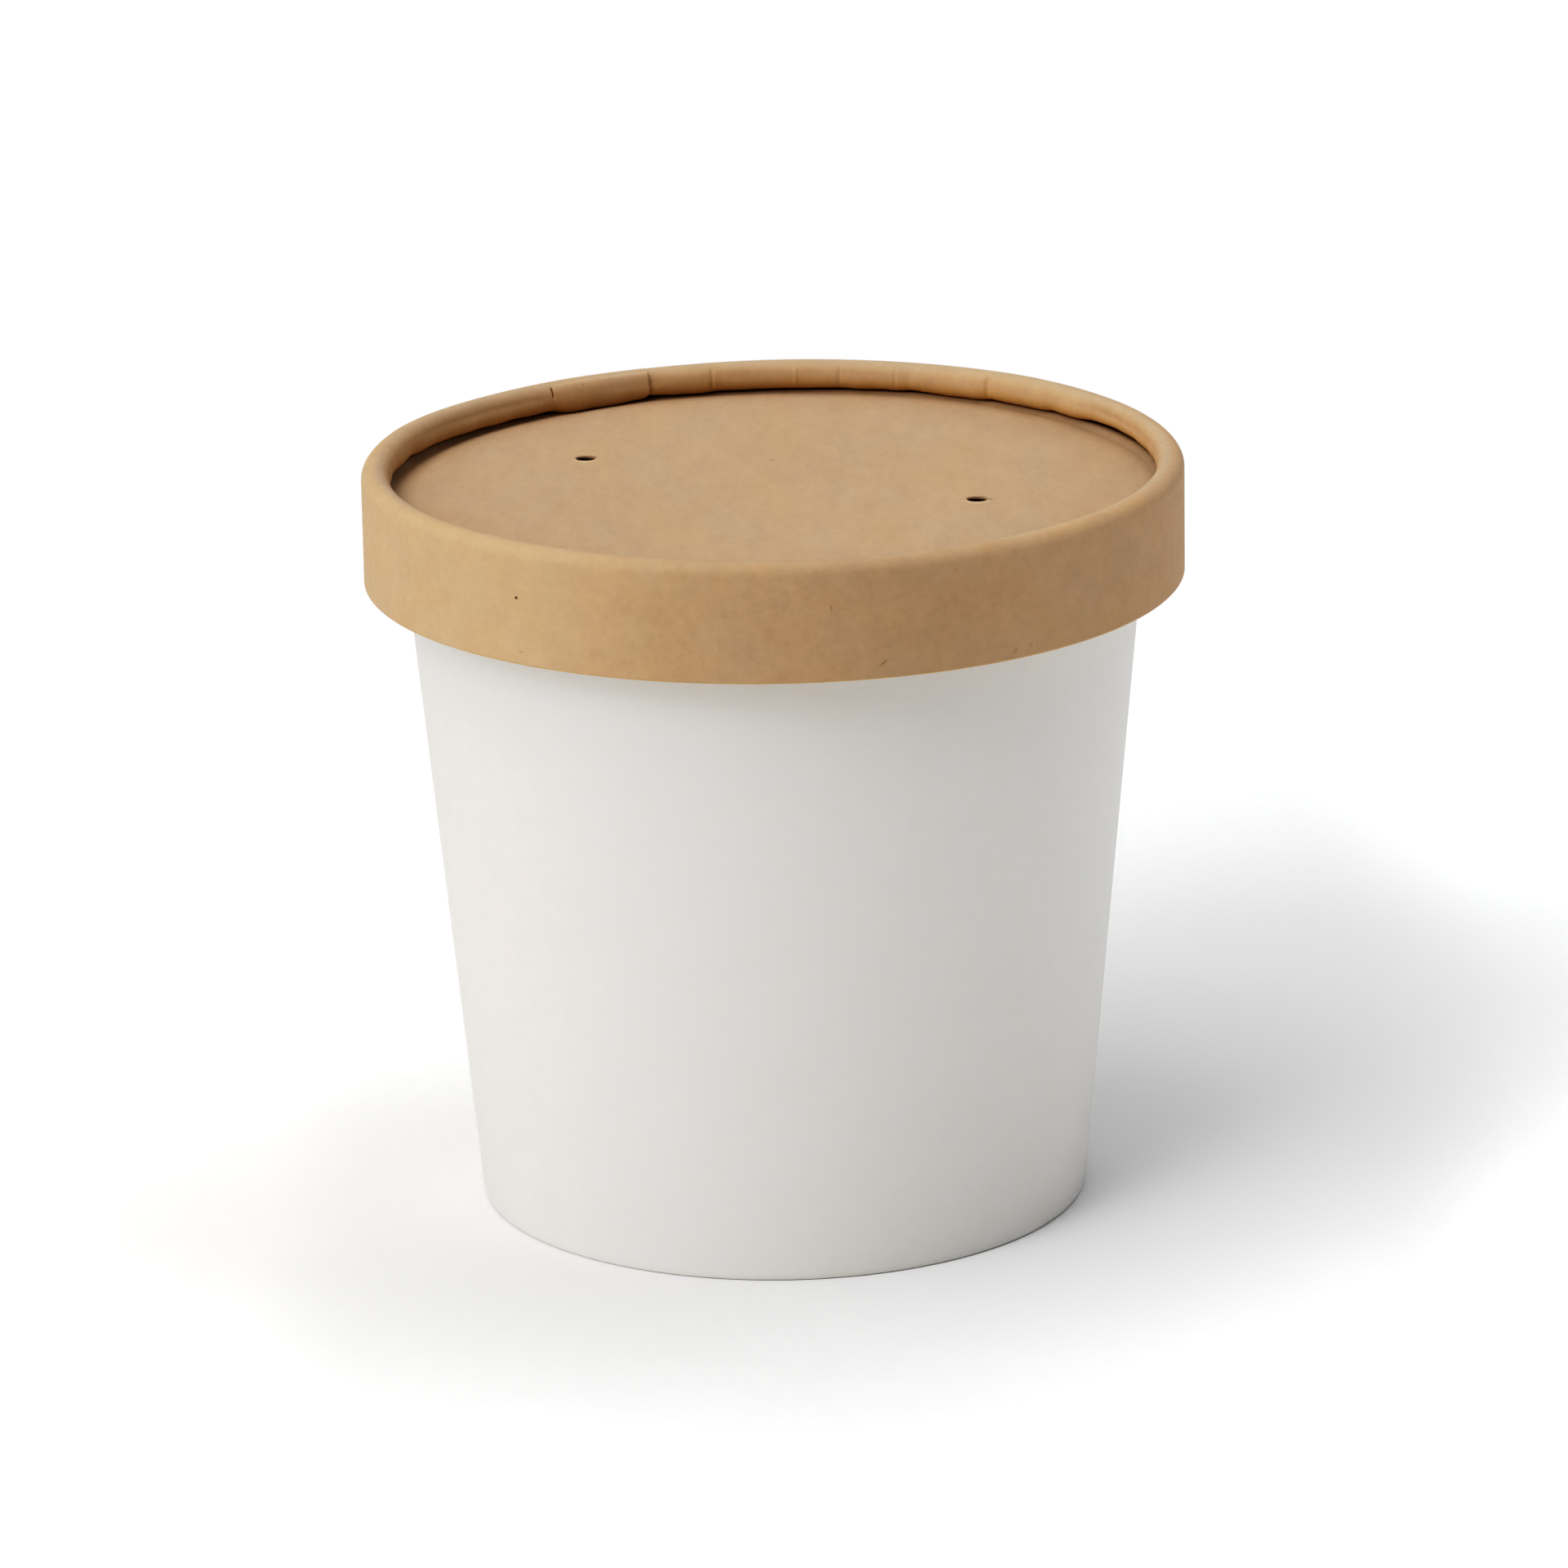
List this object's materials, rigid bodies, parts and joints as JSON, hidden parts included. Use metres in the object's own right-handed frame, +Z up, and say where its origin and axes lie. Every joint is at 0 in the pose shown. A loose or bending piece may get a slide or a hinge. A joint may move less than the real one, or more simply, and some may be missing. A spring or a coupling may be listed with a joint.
{
  "type": "paper ice cream cup with lid",
  "caption": "Shut white paper ice cream tub with a tapered wall and a recessed base, under a kraft board lid with a rolled edge and small punched vents.",
  "frame": {"origin": "middle of the foot ring, on the surface that the cup stands on", "axes": "+Z up along the cup's axis; the side seam of the cup and the lap of the lid's band are at the back, towards +Y; -Y faces the viewer"},
  "size_m": [0.1, 0.1, 0.0929],
  "materials": {
    "white_board": "smooth, faintly glossy coated white board",
    "kraft_band": "matt brown kraft board with fine fibres",
    "kraft_disc": "matt brown kraft board with fine fibres"
  },
  "bodies": {
    "root": {"cup": "white_board", "lid_band": "kraft_band", "lid_disc": "kraft_disc"}
  },
  "joints": []
}
